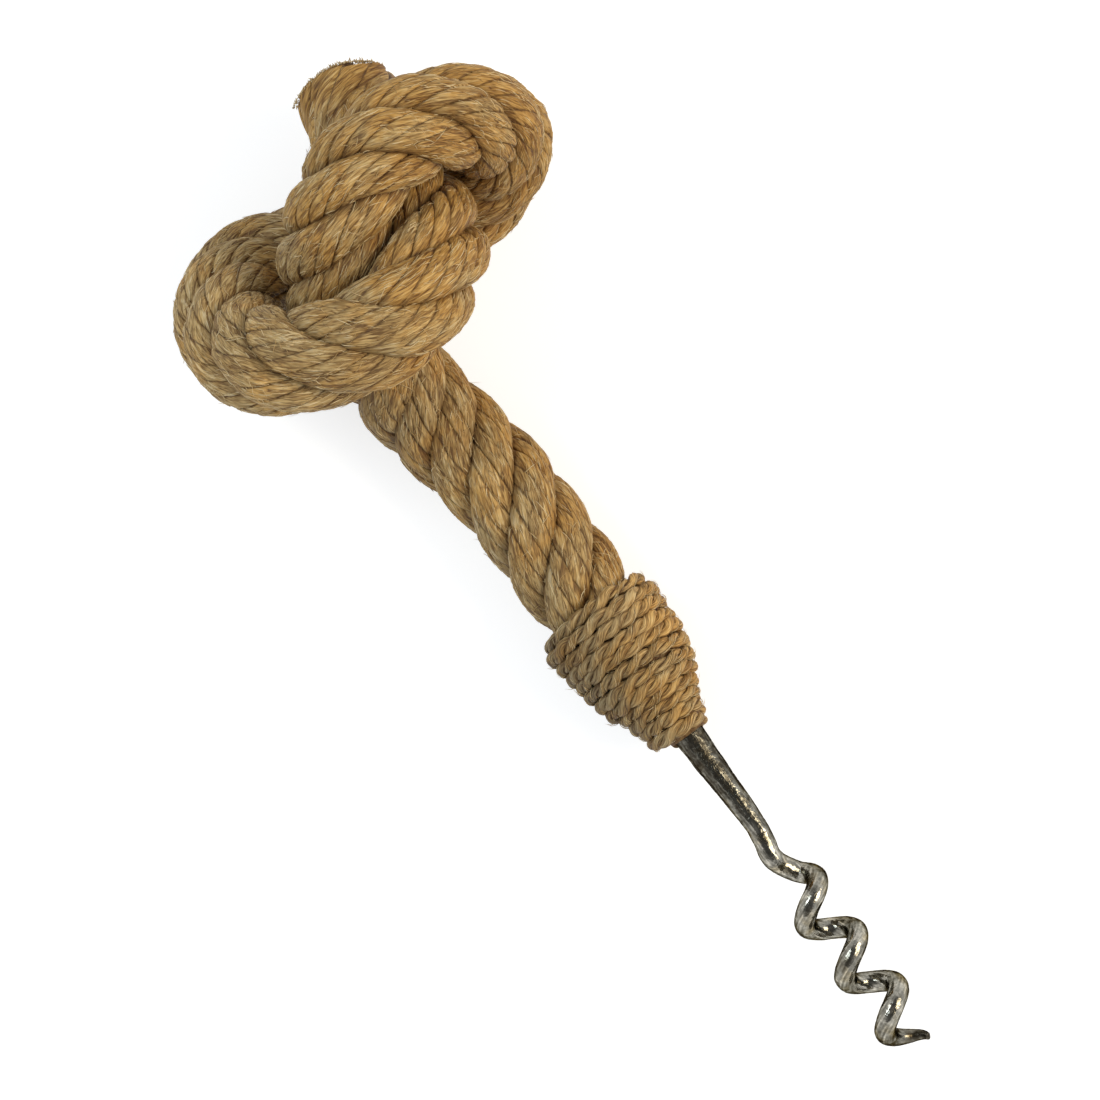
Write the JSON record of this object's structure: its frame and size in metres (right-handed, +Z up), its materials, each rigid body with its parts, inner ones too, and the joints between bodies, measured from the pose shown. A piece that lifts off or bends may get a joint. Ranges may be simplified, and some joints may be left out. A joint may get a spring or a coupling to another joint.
{
  "type": "corkscrew",
  "caption": "Corkscrew with an open wire worm on a tapered shank, held in a thick laid rope that is knotted as its grip and whipped with twine at the neck.",
  "frame": {"origin": "middle of the part's outline on the surface that it lies on", "axes": "+X runs from the knot along the neck and the shank to the point of the worm, +Z is up from the surface that the part lies on"},
  "size_m": [0.1944, 0.0766, 0.0567],
  "materials": {
    "manila_rope": "matte",
    "hemp_twine": "matte",
    "forged_steel": "satin"
  },
  "bodies": {
    "root": {"rope_handle": "manila_rope", "neck_whipping": "hemp_twine", "screw": "forged_steel"}
  },
  "joints": []
}
